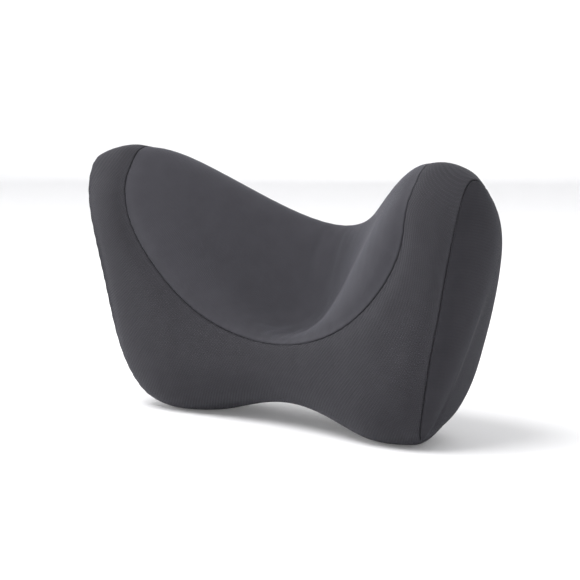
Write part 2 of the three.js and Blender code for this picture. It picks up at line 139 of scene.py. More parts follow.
EDGE = {"radius": 0.16, "weld": 0.01, "degrees": 32}  # how the zipper's metal parts are rounded
WEAVE = {"under": 2.6, "over": 6.5, "bar": 3.2, "rim": 7.2, "reach": 12.5, "tail": 16}
LEFT_BLEND = (-79, -45)  # x where the strap's left end turns from the cushion's to its own
RIGHT_BLEND = (69, 44)  # the same at the ring
RETURN_BLEND = (44, 22)  # from the strap's to the adjuster's

# ---- inside ----

LINER_DEPTH, LINER_THICK, FOAM_DEPTH = 4.2, 0.5, 5.2
SLIT = {"half_length": 80, "z": 55, "half": 2.5}  # the liner's opening

# ---- camera and studio ----

LOOK_AT = (0, BACK - 60, 85)
AZIMUTH, ELEVATION, CAMERA_ROLL, DISTANCE = 41.66, 7.35, 0.23, 1379.6
LENS, SHIFT = 130, (-0.0012, 0.0104)
WALL_RADIUS, CURVE, WALL_HEIGHT, FLOOR_Z = 2600, 900, 2600, -0.3
FLOOR_TURNS, CURVE_STEPS, FLOOR_GLOW = 96, 8, 0.12


# ==== the skin ====


def rounded_max(v, soft):
    """max(v, 0) with a rounded corner that is 2 * soft wide."""
    near = np.clip(v + soft, 0, 2 * soft)
    return np.where(v > soft, v, near**2 / (4 * soft))


def half_width(z):
    low = np.maximum(0, 1 - z / LOW_CORNER["height"]) ** 2
    high = np.maximum(0, (z - HIGH_CORNER["height"]) / HIGH_CORNER["span"]) ** 2
    return HALF_WIDTH + FLARE * z - LOW_CORNER["inset"] * low - HIGH_CORNER["inset"] * high


def skin(s, t):
    """Points of the outside at s and t, which broadcast."""
    s, t = np.broadcast_arrays(np.asarray(s, float), np.asarray(t, float))
    wing = np.sin(math.pi / 2 * np.minimum(1, np.abs(s) / WING_AT))[..., None] ** 2
    q = np.clip((np.abs(s) - END_FROM) / (1 - END_FROM), 0, 1)[..., None] * END_ROUND
    end = (1 - np.sqrt(1 - q * q)) / (1 - math.sqrt(1 - END_ROUND**2))
    first = np.floor(t).astype(int)
    f = (t - first)[..., None]
    weights = [(1 - f) ** 3, 3 * f**3 - 6 * f**2 + 4, 1 + 3 * f + 3 * f**2 - 3 * f**3, f**3]
    yz = np.zeros(s.shape + (2,))
    for k, weight in enumerate(weights):
        i = (first + k - 1) % TURN
        yz += weight / 6 * (CENTRE[i] + (WING[i] - CENTRE[i]) * wing + (END[i] - WING[i]) * end)
    y = BACK - rounded_max(-yz[..., 0], BACK_SOFT)
    z = rounded_max(yz[..., 1], BASE_SOFT)
    return np.stack([s * half_width(z), y, z], -1)


def unit(v):
    return v / np.maximum(np.linalg.norm(v, axis=-1, keepdims=True), 1e-9)


def skin_normal(s, t):
    """Outward unit normals at s and t."""
    step = 2e-3
    s = np.clip(s, -1 + step, 1 - step)
    across = skin(s + step, t) - skin(s - step, t)
    along = skin(s, t + step) - skin(s, t - step)
    return unit(np.cross(across, along))


def distances_along(path):
    """How far along a path each of its points is."""
    steps = np.linalg.norm(np.diff(path, axis=0), axis=-1)
    return np.concatenate([[0], np.cumsum(steps)])


def even_steps(lines, values, count):
    """count + 1 of the values, evenly spaced along the average of some lines through them."""
    far = np.mean([distances_along(line) for line in lines], axis=0)
    return np.interp(np.linspace(0, far[-1], count + 1), far, values)


class Skin:
    """The closed skin as a quad mesh: rings of cells round the body and a patch on each end."""

    def __init__(self):
        fine_s, fine_t = np.linspace(-1, 1, 401), np.linspace(0, TURN, 401)
        along = skin(fine_s[None, :], np.arange(0.5, TURN)[:, None])
        round_it = skin(np.array([0, 0.3, 0.6, 0.85])[:, None], fine_t[None, :])
        self.s = even_steps(along, fine_s, ACROSS)
        self.t = even_steps(round_it, fine_t, ROUND)
        rings = skin(self.s[:, None], self.t[None, :])
        self.points = list(rings[:, :-1].reshape(-1, 3))
        self.st = [(s, t) for s in self.s for t in self.t[:-1]]
        self.faces, self.uvs = [], []
        self.add_rings(rings)
        for side in (-1, 1):
            self.add_cap(side)
        self.points = np.array(self.points)
        self.st = np.array(self.st)

    def add_rings(self, rings):
        u = np.cumsum(np.linalg.norm(np.diff(rings, axis=0, prepend=rings[:1]), axis=-1), axis=0)
        v = np.cumsum(np.linalg.norm(np.diff(rings, axis=1, prepend=rings[:, :1]), axis=-1), axis=1)
        front = int(np.argmin(np.abs(self.t - 3)))
        u, v = u - u[ACROSS // 2], v - v[:, front : front + 1]
        for i in range(ACROSS):
            for j in range(ROUND):
                corners = [(i, j), (i + 1, j), (i + 1, j + 1), (i, j + 1)]
                self.faces.append([a * ROUND + b % ROUND for a, b in corners])
                self.uvs.append([(u[a, b], v[a, b]) for a, b in corners])

    def add_cap(self, side):
        """A patch between the four stretches of an end's ring, blended from their points."""
        first = (ACROSS if side > 0 else 0) * ROUND
        ring = [first + (CAP_START + k) % ROUND for k in range(ROUND)]
        a, b = CAP_SHORT, CAP_LONG
        index = np.full((a + 1, b + 1), -1)
        index[:, 0] = ring[: a + 1]
        index[a, :] = ring[a : a + b + 1]
        index[:, b] = ring[a + b : 2 * a + b + 1][::-1]
        index[0, :] = (ring[2 * a + b :] + ring[:1])[::-1]

        def at(i, j):
            return self.points[index[i, j]]

        for i in range(1, a):
            for j in range(1, b):
                x, y = i / a, j / b
                edges = (1 - x) * at(0, j) + x * at(a, j) + (1 - y) * at(i, 0) + y * at(i, b)
                low = (1 - x) * (1 - y) * at(0, 0) + x * (1 - y) * at(a, 0)
                high = (1 - x) * y * at(0, b) + x * y * at(a, b)
                bulge = (1 - abs(2 * x - 1) ** 3) * (1 - abs(2 * y - 1) ** 3)
                index[i, j] = len(self.points)
                self.points.append(edges - low - high + np.array([side * END_BULGE * bulge, 0, 0]))
                self.st.append((side * CAP_S, 0))
        for i in range(a):
            for j in range(b):
                corners = [index[i, j], index[i + 1, j], index[i + 1, j + 1], index[i, j + 1]]
                corners = corners[::-1] if side > 0 else corners
                self.faces.append(corners)
                self.uvs.append([(side * self.points[k][1], self.points[k][2]) for k in corners])


# ==== seams, as lines on the skin ====


class Seam:
    """A line on the skin. side() gives points' distance from it along the skin, with a sign."""

    def __init__(self, s, t, negative, mitre=0.0):
        """negative is a place (s, t) where the sign is below 0. mitre leans the normals to x."""
        far = distances_along(skin(s, t))
        self.along = np.linspace(0, far[-1], int(far[-1] / SEAM_STEP))
        s, t = np.interp(self.along, far, s), np.interp(self.along, far, t)
        normals = unit(skin_normal(s, t) + np.array([mitre, 0, 0]))
        self.points = skin(s, t) - INSET * normals
        self.across = unit(np.cross(np.gradient(self.points, axis=0), normals))
        self.tree = tree_of(self.points)
        if self.side(skin(*negative)[None])[0][0] > 0:
            self.across *= -1

    def side(self, points):
        """Signed distance across, plain distance, place along, and the unit direction across."""
        found = nearest_in(self.tree, points)
        away = points - self.points[found]
        across = (away * self.across[found]).sum(-1)
        return across, np.linalg.norm(away, axis=-1), self.along[found], self.across[found]


def tree_of(points):
    tree = kdtree.KDTree(len(points))
    for k, p in enumerate(points):
        tree.insert(p, k)
    tree.balance()
    return tree


def nearest_in(tree, points):
    """The index in the tree of the nearest point to each of some points."""
    return np.array([tree.find(p)[1] for p in points])


def back_t(s, z):
    """The t on the back where the skin at s has height z."""
    t = np.linspace(8, 10, 401)
    return float(np.interp(-z, -skin(s, t)[:, 2], t))


def cradle_half(count=120):
    """Half of the curved seam, from its low middle up to where it turns over the top, as s and t."""
    rise = np.linspace(0, 1, count) ** 2
    s = SEAM["side"] * (1 - (1 - rise) ** SEAM["power"]) ** (1 / SEAM["power"])
    return s, SEAM["low_t"] + (SEAM["side_t"] - SEAM["low_t"]) * rise


def smooth_step(start, end, v):
    share = np.clip((v - start) / (end - start), 0, 1)
    return share**2 * (3 - 2 * share)


def gusset_edge(t):
    """|s| of a gusset's edge: on the end's own rim in front, and round the corner behind."""
    t = (t - 2) % TURN + 2
    return 1 - WRAP["reach"] * smooth_step(*WRAP["top"], t) * smooth_step(*WRAP["base"], t)


def make_seams():
    """The seam round the cradle and the back panel, the top seam between them, and the ends'."""
    side = SEAM["side"]
    s, t = cradle_half()
    down = np.linspace(SEAM["side_t"], back_t(side, SLOT["high"]), 120)[1:]
    across = np.linspace(side, 0, 100)[1:]
    low = [back_t(k, SLOT["high"]) for k in across]
    half_s = np.concatenate([s, np.full(len(down), side), across])
    half_t = np.concatenate([t, down, low])
    loop_s = np.concatenate([half_s, -half_s[::-1][1:]])
    loop_t = np.concatenate([half_t, half_t[::-1][1:]])
    round_it = np.linspace(0, TURN - 1e-6, 400)
    end = gusset_edge(round_it)
    return {
        "loop": Seam(loop_s, loop_t, (0, 6)),
        "top": Seam(np.linspace(-side, side, 200), np.full(200, SEAM["top_t"]), (0, 7)),
        "left": Seam(-end, round_it, (-0.9, 5), mitre=-1),
        "right": Seam(end, round_it, (0.9, 5), mitre=1),
    }


# ==== meshes ====


def mesh_object(name, points, faces, uvs=None):
    """A new smooth object from points in millimetres. uvs has one (u, v) for each face corner."""
    mesh = bpy.data.meshes.new(name)
    mesh.from_pydata((np.asarray(points) * MM).tolist(), [], [[int(i) for i in f] for f in faces])
    if uvs is not None:
        layer = mesh.uv_layers.new(name="Weave")
        layer.data.foreach_set("uv", np.concatenate([np.ravel(c) for c in uvs]))
    mesh.polygons.foreach_set("use_smooth", [True] * len(mesh.polygons))
    mesh.update()
    return add_object(name, mesh)


def add_object(name, data):
    obj = bpy.data.objects.new(name, data)
    bpy.context.scene.collection.objects.link(obj)
    return obj


def coordinates(mesh):
    """A mesh's points in millimetres."""
    co = np.zeros(len(mesh.vertices) * 3)
    mesh.vertices.foreach_get("co", co)
    return co.reshape(-1, 3) / MM


def vertex_normals(mesh):
    normals = np.zeros(len(mesh.vertices) * 3)
    mesh.vertex_normals.foreach_get("vector", normals)
    return normals.reshape(-1, 3)


def evaluated(obj):
    """The object's mesh with its modifiers applied, as a new mesh."""
    depsgraph = bpy.context.evaluated_depsgraph_get()
    return bpy.data.meshes.new_from_object(obj.evaluated_get(depsgraph), depsgraph=depsgraph)


# ==== swelling the skin ====


def inset_points(body, depth):
    """The skin's points, moved in by a depth."""
    obj = mesh_object("skin_start", body.points, body.faces)
    normals = vertex_normals(obj.data)
    bpy.data.objects.remove(obj)
    return body.points - depth * normals


def pin_weights(points, seams):
    """1 on the seams and round the zipper, falling to the foam's own hold between them."""
    near = np.min([seam.side(points)[1] for seam in seams.values()], axis=0)
    near = np.minimum(near, np.maximum(slot_distances(points)[1], 0))
    share = np.clip((near - PIN["held"]) / (PIN["free"] - PIN["held"]), 0, 1)
    return np.maximum((1 - share) ** 2, PIN["foam"])


def swollen(body, seams):
    """The skin's points after cloth simulation under pressure, held at the seams."""
    start = inset_points(body, INSET)
    hold = pin_weights(start, seams)
    obj = mesh_object("skin_sim", start, body.faces)
    group = obj.vertex_groups.new(name="seams")
    for k, weight in enumerate(hold):
        group.add([k], float(weight), "REPLACE")
    cloth = obj.modifiers.new("cloth", "CLOTH")
    settings = cloth.settings
    settings.quality = 6
    settings.mass = 0.02
    settings.tension_stiffness = settings.compression_stiffness = 1
    settings.shear_stiffness = 0.5
    settings.bending_stiffness = 0.2
    settings.use_pressure = True
    settings.uniform_pressure_force = PRESSURE
    settings.vertex_group_mass = "seams"
    settings.effector_weights.gravity = 0
    cloth.collision_settings.use_collision = False
    for number in range(1, SIM_FRAMES + 1):
        bpy.context.scene.frame_set(number)
    moved = coordinates(evaluated(obj))
    bpy.context.scene.frame_set(1)
    bpy.data.objects.remove(obj)
    shift = moved - start
    far = np.linalg.norm(shift, axis=-1, keepdims=True)
    return start + shift * np.minimum(1, SWELL / np.maximum(far, 1e-9))


def pressed_flat(points):
    """The points kept in front of the back plane and above the surface that the cushion is on."""
    y = BACK - rounded_max(BACK - points[:, 1], PRESSED["back"])
    z = rounded_max(points[:, 2], PRESSED["base"])
    return np.stack([points[:, 0], y, z], -1)


def smooth_mesh(body, points):
    """The skin with its points at some places, as a mesh after one subdivision."""
    obj = mesh_object("skin_smooth", points, body.faces, body.uvs)
    modifier = obj.modifiers.new("smooth", "SUBSURF")
    modifier.levels = modifier.render_levels = 1
    mesh = evaluated(obj)
    bpy.data.objects.remove(obj)
    return mesh


# ==== distances from the seams ====


def region_signs(body):
    """For each point of the first mesh, on which side of each seam it lies."""
    s, t = body.st.T
    low = np.interp(np.abs(s), *cradle_half())
    high = np.array([back_t(k, SLOT["high"]) for k in np.clip(s, -1, 1)])
    inside = (np.abs(s) < SEAM["side"]) & (t > low) & (t < high)
    return {
        "loop": np.where(inside, -1, 1),
        "top": np.where(t < SEAM["top_t"], -1, 1),
        "left": np.where(s < -gusset_edge(t), 1, -1),
        "right": np.where(s > gusset_edge(t), 1, -1),
    }


def slot_distances(points):
    """Distance outside the zipper's slot, first with the slot open at its top, then closed."""
    corner = SLOT["corner"]
    dx = np.abs(points[:, 0]) - SLOT["half_length"] + corner
    below, above = SLOT["low"] - points[:, 2], points[:, 2] - SLOT["high"]
    behind = points[:, 1] > BACK - BEHIND
    fields = []
    for dz in (below + corner, np.maximum(below, above) + corner):
        out = np.hypot(np.maximum(dx, 0), np.maximum(dz, 0)) + np.minimum(np.maximum(dx, dz), 0)
        fields.append(np.where(behind, out - corner, NOWHERE))
    return fields


def seam_fields(points, body, seams):
    """Signed distances by seam, which keep their sign far away from it."""
    nearest = nearest_in(tree_of(body.points), points)
    fields = {}
    for name, signs in region_signs(body).items():
        across, plain, _, _ = seams[name].side(points)
        fields[name] = np.where(plain < NEAR, across, signs[nearest] * np.maximum(plain, NEAR))
    fields["slot"], fields["zip"] = slot_distances(points)
    return fields


# ==== cutting the skin along its seams ====


def split_on(face, marked, layer, level):
    """Splits a face between two marked corners that have others on both sides of them."""
    corners = list(face.verts)
    on = [k for k, v in enumerate(corners) if v in marked]
    for a in on:
        for b in on:
            one, other = corners[a + 1 : b], corners[b + 1 :] + corners[:a]
            if a < b and one and other:
                if (one[0][layer] - level) * (other[0][layer] - level) < 0:
                    bmesh.utils.face_split(face, corners[a], corners[b])
                    return


def cut_at(bm, layer, level):
    """Puts edges along the line where a distance has a level."""
    for v in bm.verts:
        if abs(v[layer] - level) < SNAP:
            v[layer] = level
    crossing = []
    for e in bm.edges:
        a, b = e.verts[0][layer] - level, e.verts[1][layer] - level
        if a * b < 0 and min(abs(a), abs(b)) > MEET and abs(a - b) < NEAR:
            crossing.append(e)
    for e in crossing:
        a, b = e.verts
        share = (level - a[layer]) / (b[layer] - a[layer])
        v = bmesh.utils.edge_split(e, a, share)[1]
        v[layer] = level
    marked = {v for v in bm.verts if abs(v[layer] - level) < MEET}
    for face in {f for v in marked for f in v.link_faces}:
        split_on(face, marked, layer, level)


class CutSkin:
    """The skin with edges along every seam, as points, normals, faces and uvs. fields has each
    point's signed distance from each seam, and sides the same for the middle of each face."""

    def __init__(self, mesh, body, seams):
        points = coordinates(mesh)
        fields = seam_fields(points, body, seams)
        mesh.vertices.foreach_set("co", pressed_flat(points).reshape(-1))
        bm = bmesh.new()
        bm.from_mesh(mesh)
        layers = {name: bm.verts.layers.float.new(name) for name in fields}
        for name, layer in layers.items():
            for v, value in zip(bm.verts, fields[name]):
                v[layer] = value
        for name in ("loop", "top", "left", "right", "slot"):
            for level in SEAM_LEVELS:
                for side in (1, -1) if level and name != "slot" else (1,):
                    cut_at(bm, layers[name], side * level)
        for level in STITCH_LEVELS:
            cut_at(bm, layers["zip"], level)
        bm.normal_update()
        bm.verts.index_update()
        self.points = np.array([v.co for v in bm.verts])
        self.normals = np.array([v.normal for v in bm.verts])
        self.faces = [[v.index for v in f.verts] for f in bm.faces]
        uv = bm.loops.layers.uv["Weave"]
        self.uvs = [[tuple(loop[uv].uv) for loop in f.loops] for f in bm.faces]
        self.fields, self.sides = {}, {}
        for name, layer in layers.items():
            field = np.array([v[layer] for v in bm.verts])
            self.fields[name] = field
            self.sides[name] = np.array([field[f].mean() for f in self.faces])
        bm.free()
        self.add_directions(seams)

    def add_directions(self, seams):
        """For each seam, the direction away from it at each point, and the place along it."""
        self.away, self.along = {}, {}
        for name, seam in seams.items():
            _, _, along, across = seam.side(self.points)
            self.away[name] = across * np.sign(self.fields[name])[:, None]
            self.along[name] = along
        slopes = np.zeros(self.points.shape)
        for axis in (0, 2):
            nudge = np.eye(3)[axis] * NUDGE
            ahead, behind = (slot_distances(self.points + way * nudge)[0] for way in (1, -1))
            slopes[:, axis] = ahead - behind
        self.away["slot"] = unit(slopes)
        self.along["slot"] = self.points[:, 0]


# ==== panels of the cover ====


def roll_depth(e):
    """How far a panel's outside has sunk at a distance e from its edge."""
    inner = np.clip(ROLL - e, 0, ROLL)
    return ROLL - np.sqrt(ROLL**2 - inner**2)


def panel(name, cut, chosen, seam_names):
    """A closed padded panel from the chosen faces of the cut skin, rolled in along its seams."""
    picked = np.nonzero(chosen)[0]
    used = np.unique(np.concatenate([cut.faces[k] for k in picked]))
    number = np.full(len(cut.points), -1)
    number[used] = np.arange(len(used))
    distances = np.abs(np.stack([cut.fields[k][used] for k in seam_names]))
    which = distances.argmin(0)
    e = distances.min(0)
    rows = np.arange(len(used))
    away = np.stack([cut.away[k][used] for k in seam_names])[which, rows]
    along = np.stack([cut.along[k][used] for k in seam_names])[which, rows]
    valley = VALLEY["depth"] * np.exp(-((e / VALLEY["reach"]) ** 2))
    drift = PUCKER["drift"] * np.sin(along / PUCKER["drift_wave"])
    wave = np.sin(2 * math.pi * along / PUCKER["wave"] + drift)
    pucker = PUCKER["height"] * np.exp(-e / PUCKER["reach"]) * wave
    from_row = (cut.fields["zip"][used] - STITCH["off"]) / STITCH["groove_reach"]
    row = STITCH["groove"] * np.exp(-(from_row**2))
    normals = cut.normals[used]
    outside = cut.points[used] + away * (GAP * np.exp(-e / GAP_REACH))[:, None]
    outside = outside - normals * (roll_depth(e) + valley + pucker + row)[:, None]
    inside = cut.points[used] - normals * (COVER + valley + INNER_ROLL * roll_depth(e))[:, None]
    inside[:, 2] = np.maximum(inside[:, 2], outside[:, 2].min() + INNER_LIFT)
    faces = [[number[i] for i in cut.faces[k]] for k in picked]
    uvs = [cut.uvs[k] for k in picked]
    count = len(used)
    edges = {}
    for face, uv in zip(faces, uvs):
        for k in range(len(face)):
            a, b = face[k - 1], face[k]
            edges[(a, b)] = (uv[k - 1], uv[k])
    shell = faces + [[i + count for i in face[::-1]] for face in faces]
    shell_uvs = uvs + [uv[::-1] for uv in uvs]
    for (a, b), (uv_a, uv_b) in edges.items():
        if (b, a) not in edges:
            shell.append([b, a, a + count, b + count])
            shell_uvs.append([uv_b, uv_a, uv_a, uv_b])
    obj = mesh_object(name, np.concatenate([outside, inside]), shell, shell_uvs)
    attribute = obj.data.attributes.new("SeamDistance", "FLOAT", "POINT")
    attribute.data.foreach_set("value", np.concatenate([e, np.zeros(count)]).astype(np.float32))
    return obj


def make_cover(cut):
    """The five panels, by the CAD nodes that they show."""
    loop, top = cut.sides["loop"], cut.sides["top"]
    left, right = cut.sides["left"], cut.sides["right"]
    band = (loop > 0) & (left < 0) & (right < 0) & (cut.sides["slot"] > 0)
    return {
        "band_panel": panel("band_cover", cut, band, ("loop", "left", "right", "slot")),
        "cradle_panel": panel("cradle_cover", cut, (loop < 0) & (top < 0), ("loop", "top")),
        "back_panel": panel("back_cover", cut, (loop < 0) & (top > 0), ("loop", "top")),
        "gusset_left": panel("gusset_cover_left", cut, left > 0, ("left",)),
        "gusset_right": panel("gusset_cover_right", cut, right > 0, ("right",)),
    }


# ==== foam and liner ====


def core_object(name, body, depth):
    """The skin moved in by a depth and smoothed once."""
    mesh = smooth_mesh(body, inset_points(body, depth))
    mesh.name = name
    return add_object(name, mesh)


def make_liner(body):
    """The foam's thin inner bag. It opens behind, above the zipper, with a slit."""
    obj = core_object("liner_bag", body, LINER_DEPTH)
    bm = bmesh.new()
    bm.from_mesh(obj.data)
    opening = []
    for face in bm.faces:
        x, y, z = np.array(face.calc_center_median()) / MM
        if y > BACK - BEHIND and abs(x) < SLIT["half_length"] and abs(z - SLIT["z"]) < SLIT["half"]:
            opening.append(face)
    bmesh.ops.delete(bm, geom=opening, context="FACES")
    bm.to_mesh(obj.data)
    bm.free()
    thick = obj.modifiers.new("thick", "SOLIDIFY")
    thick.thickness = LINER_THICK * MM
    thick.offset = -1
    return obj


# ==== wires, threads and webbing ====


def ring_faces(rows, count, first=0, closed=False):
    """Quads between rows of count points each. closed joins the last row to the first."""
    faces = []
    for row in range(rows if closed else rows - 1):
        a, b = first + row * count, first + (row + 1) % rows * count
        for j in range(count):
            k = (j + 1) % count
            faces.append([a + j, a + k, b + k, b + j])
    return faces


def end_faces(rows, count, first=0):
    """The two faces that close the rows' ends."""
    last = first + (rows - 1) * count
    return [list(range(first, first + count))[::-1], list(range(last, last + count))]


def tube(name, paths, radius, sides=6):
    """One mesh of round tubes along paths, closed at their ends."""
    points, faces = [], []
    turn = np.linspace(0, 2 * math.pi, sides, endpoint=False)
    for path in paths:
        path = np.asarray(path, float)
        along = unit(np.gradient(path, axis=0))
        side = unit(np.cross(along, np.where(np.abs(along[:, 1:2]) > 0.9, [1, 0, 0], [0, 1, 0])))
        up = np.cross(side, along)
        first = len(points)
        for p, a, b in zip(path, side, up):
            points.extend(p + radius * (math.cos(k) * a + math.sin(k) * b) for k in turn)
        faces += ring_faces(len(path), sides, first) + end_faces(len(path), sides, first)
    return mesh_object(name, points, faces)


def between(path, far, at):
    """Points of a path at some distances along it. far has its own points' distances."""
    return np.stack([np.interp(at, far, values) for values in np.transpose(path)], -1)


def stitches(name, lines, size):
    """Single stitches along some lines, each dipping into the cloth at both its ends."""
    lift = size["height"] * np.sin(np.linspace(-STITCH_DIP, math.pi + STITCH_DIP, STITCH_POINTS))
    half_gap = size["gap"] / 2
    paths = []
    for line in lines:
        far = distances_along(line)
        count = max(1, round(far[-1] / (size["length"] + size["gap"])))
        pitch = far[-1] / count
        for k in range(count):
            at = np.linspace(k * pitch + half_gap, (k + 1) * pitch - half_gap, STITCH_POINTS)
            paths.append(between(line, far, at) + OUTWARD * lift[:, None])
    return tube(name, paths, size["radius"])


def sewn(name, corners, out):
    """A row of stitches through corners (x, z), on webbing whose face is at out."""
    points = [(x, BACK + out, z) for x, z in corners]
    return stitches(name, zip(points, points[1:]), BOX)


def arc(bar_x, start, end):
    """Points (x, out) of webbing that turns round a bar. Angles are from +x towards out."""
    out, radius = LOOP["out"], LOOP["radius"]
    turn = np.linspace(start, end, 24)
    return [(bar_x + radius * math.cos(k), out + radius * math.sin(k)) for k in turn]


def evenly(path, step):
    """Points at about one step from each other along a path of corners."""
    far = distances_along(path)
    return between(path, far, np.linspace(0, far[-1], int(round(far[-1] / step)) + 1))


def evenly_round(line, step):
    """The same for a line that closes. The first point comes again at its end."""
    return evenly(np.concatenate([line, line[:1]]), step)


def rounded_rectangle(half_x, half_z, corner):
    """Points (x, z) once round a rectangle about 0 with round corners."""
    points = []
    for quarter in range(4):
        across = 1 if quarter in (0, 3) else -1
        up = 1 if quarter < 2 else -1
        for turn in np.linspace(0, math.pi / 2, 9) + quarter * math.pi / 2:
            x = across * (half_x - corner) + corner * math.cos(turn)
            points.append((x, up * (half_z - corner) + corner * math.sin(turn)))
    return np.array(points)


def bar_loop(line, out, section):
    """Points and faces of a closed bar. line is its middle (x, z), section its outline (r, out)."""
    ahead = unit(np.roll(line, -1, 0) - np.roll(line, 1, 0))
    outward = np.stack([ahead[:, 1], -ahead[:, 0]], -1)
    points = np.zeros((len(line), len(section), 3))
    points[..., 0] = line[:, None, 0] + outward[:, None, 0] * section[:, 0]
    points[..., 2] = line[:, None, 1] + outward[:, None, 1] * section[:, 0]
    points[..., 1] = BACK + out + section[:, 1]
    return points.reshape(-1, 3), ring_faces(len(line), len(section), closed=True)


def oval(half_r, half_out, squareness, count=20):
    """A section (r, out) between an ellipse, squareness 1, and a box, 0."""
    turn = np.linspace(0, -2 * math.pi, count, endpoint=False)
    ways = np.stack([np.cos(turn), np.sin(turn)], -1)
    return np.sign(ways) * np.abs(ways) ** squareness * (half_r, half_out)


def make_ring():
    """The wire ring that joins the strap to its tab."""
    line = rounded_rectangle(RING["half_x"], RING["half_z"], RING["corner"])
    line = evenly_round(line, BAR_STEP)[:-1] + [RING["x"], STRAP_Z]
    wire = oval(RING["bar"], RING["bar"], 1)
    return mesh_object("strap_wire_ring", *bar_loop(line, LOOP["out"], wire))


def make_adjuster():
    """The slide adjuster: a moulded frame with a flat bar across its middle."""
    rim, thick = FRAME["rim"] / 2, FRAME["thick"] / 2
    half_z = FRAME["height"] / 2 - rim
    line = rounded_rectangle(FRAME["length"] / 2 - rim, half_z, FRAME["corner"])
    line = evenly_round(line, BAR_STEP)[:-1] + [ADJUSTER_X, STRAP_Z]
    points, faces = bar_loop(line, FRAME["out"], oval(rim, thick, 0.5))
    section = oval(FRAME["bar"], thick - FRAME["bar_sink"], 0.4)
    rows = STRAP_Z + np.linspace(-half_z, half_z, 30)
    bar = [(ADJUSTER_X + x, BACK + FRAME["out"] + y, z) for z in rows for x, y in section]
    sizes = len(rows), len(section), len(points)
    faces += ring_faces(*sizes) + end_faces(*sizes)
    return mesh_object("slide_adjuster", np.concatenate([points, bar]), faces)


def webbing(name, path, size, z, cuts):
    """A woven band along path, points (x, out), at a height z, with lengthwise ribs and round edges.

    cuts says at which of its ends the band is cut and capped."""
    width, thick, rib = size["width"], size["thick"], size["rib"]
    path = evenly(path, WEB_STEP)
    along = unit(np.gradient(path, axis=0))
    normal = np.stack([-along[:, 1], along[:, 0]], -1)
    cells = int(round(width / rib)) * RIB_CELLS
    across = np.linspace(-width / 2, width / 2, cells + 1)
    edge = np.clip((width / 2 - np.abs(across)) / (thick / 2), 0, 1)
    body = np.sqrt(1 - (1 - edge) ** 2)
    relief = size["relief"] * (0.5 - 0.5 * np.cos(2 * math.pi * across / rib)) * (edge >= 1)
    half = (thick / 2) * body - relief
    ring_z = np.concatenate([across, across[::-1][1:-1]])
    ring_h = np.concatenate([half, -half[::-1][1:-1]])
    count = len(ring_z)
    points = np.zeros((len(path), count, 3))
    points[..., 0] = path[:, None, 0] + normal[:, None, 0] * ring_h
    points[..., 1] = BACK + path[:, None, 1] + normal[:, None, 1] * ring_h
    points[..., 2] = z + ring_z
    far = distances_along(path)
    faces = ring_faces(len(path), count)
    uvs = [[(far[i // count], ring_z[i % count]) for i in face] for face in faces]
    for is_cut, cap in zip(cuts, end_faces(len(path), count)):
        if is_cut:
            faces.append(cap)
            uvs.append([(far[i // count] + ring_h[i % count], ring_z[i % count]) for i in cap])
    return mesh_object(name, points.reshape(-1, 3), faces, uvs)


# ==== zipper ====


def make_tape(name, side):
    """Half of the zipper's tape: a thin woven band beside its coil."""
    path = [(x * TAPE_AT["half_length"], TAPE_AT["out"]) for x in (-1, 1)]
    middle = ZIP_Z + side * (TAPE_AT["inner"] + TAPE["width"] / 2)
    return webbing(name, path, TAPE, middle, (1, 1))


def make_coil(name, side):
    """One row of the zipper: a wire coiled round the tape's edge, half a pitch from the other row."""
    turns = int((COIL["end"] - COIL["start"]) / COIL["pitch"]) - 1
    phase = np.linspace(0, 2 * math.pi * turns, turns * 12 + 1)
    middle, half = (COIL_HEAD + COIL_HEEL) / 2, (COIL_HEEL - COIL_HEAD) / 2
    start = COIL["start"] + (COIL["pitch"] / 2 if side > 0 else 0)
    reach = middle - half * np.sign(np.cos(phase)) * np.abs(np.cos(phase)) ** 0.7
    x = start + COIL["pitch"] * phase / (2 * math.pi)
    y = BACK + COIL["out"] + COIL["rise"] * np.sin(phase)
    return tube(name, [np.stack([x, y, ZIP_Z + side * reach], -1)], COIL["wire"])


def slot_outline(off):
    """Points (x, z) round the zipper's slot, at a distance outside it."""
    half_z = (SLOT["high"] - SLOT["low"]) / 2
    line = rounded_rectangle(SLOT["half_length"] + off, half_z + off, SLOT["corner"] + off)
    return evenly_round(line, 1.0) + [0, ZIP_Z]


def make_topstitch(covers):
    """The row of stitches that holds the cover to the zipper's tapes."""
    trees = []
    for mesh in (cover.data for cover in covers):
        faces = [tuple(p.vertices) for p in mesh.polygons]
        trees.append(bvhtree.BVHTree.FromPolygons(coordinates(mesh).tolist(), faces))
    line = []
    for x, z in slot_outline(STITCH["off"]):
        start = Vector((x, BACK + 20, z))
        hits = [tree.ray_cast(start, Vector(-OUTWARD))[0] for tree in trees]
        line.append((x, max(hit.y for hit in hits if hit is not None), z))
    return stitches("zipper_topstitch", [line], STITCH)


# ==== strap ====


def strap_band(name, path, cuts):
    return webbing(name, path, STRAP, STRAP_Z, cuts)


def strap_pieces():
    """The strap's webbing, in the pieces that its joints part it into."""
    low, high = LOOP["out"] - LOOP["radius"], LOOP["out"] + LOOP["radius"]
    sewn_flat = [(STRAP_X["left"], SEWN_OUT), (STRAP_X["sewn_to"], SEWN_OUT)]
    raised = [(STRAP_X["raised_from"], low), (LEFT_BLEND[1], low)]
    turn = arc(STRAP_X["bar"], -math.pi / 2, math.pi / 2)
    return (
        strap_band("strap_left", smoothed(sewn_flat + raised), (1, 0)),
        strap_band("strap_span", [(LEFT_BLEND[1], low), (RIGHT_BLEND[1], low)], (0, 0)),
        strap_band("strap_at_ring", [(RIGHT_BLEND[1], low), *turn, (RIGHT_BLEND[1], high)], (0, 0)),
        strap_band("strap_end", woven_end(high), (0, 1)),
        strap_band("ring_tab_webbing", tab_path(low, high), (1, 1)),
    )


